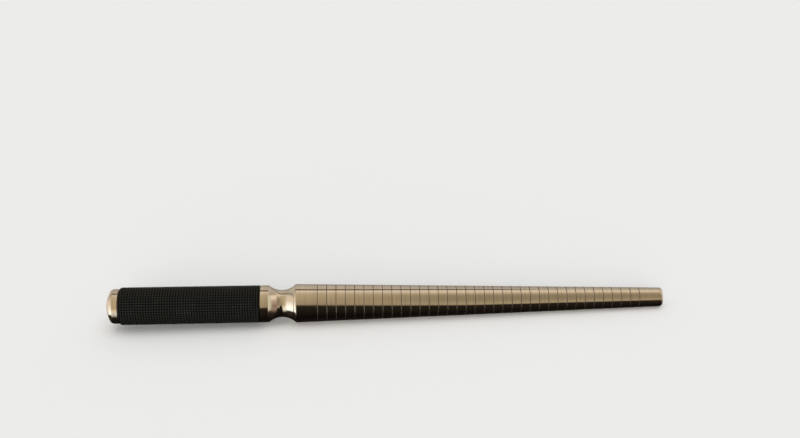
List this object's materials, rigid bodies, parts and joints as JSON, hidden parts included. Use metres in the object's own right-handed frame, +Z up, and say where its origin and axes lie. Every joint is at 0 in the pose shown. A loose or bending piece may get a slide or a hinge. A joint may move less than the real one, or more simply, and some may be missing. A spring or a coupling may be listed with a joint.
{
  "type": "ring mandrel",
  "caption": "Tapered, graduated ring sizing mandrel with a scooped neck and collar, a black knurled grip and a domed end cap.",
  "frame": {"origin": "on the mandrel's axis at the shoulder, where the measuring taper begins", "axes": "+X along the axis towards the tip, the grip lies on the -X side, +Z up as the mandrel lies on a bench"},
  "size_m": [0.3617, 0.025, 0.025],
  "materials": {
    "plated_steel": "polished warm nickel plate over steel, fine turning marks",
    "plated_cap": "polished warm nickel plate over steel",
    "black_grip": "matt black, fine square knurl",
    "washer": "matt black nylon",
    "plain_steel": "plain turned steel"
  },
  "bodies": {
    "root": {"mandrel_body": "plated_steel", "grip_sleeve": "black_grip", "cap_washer": "washer", "end_cap": "plated_cap", "tie_stud": "plain_steel", "grip_dowel": "plain_steel"}
  },
  "joints": []
}
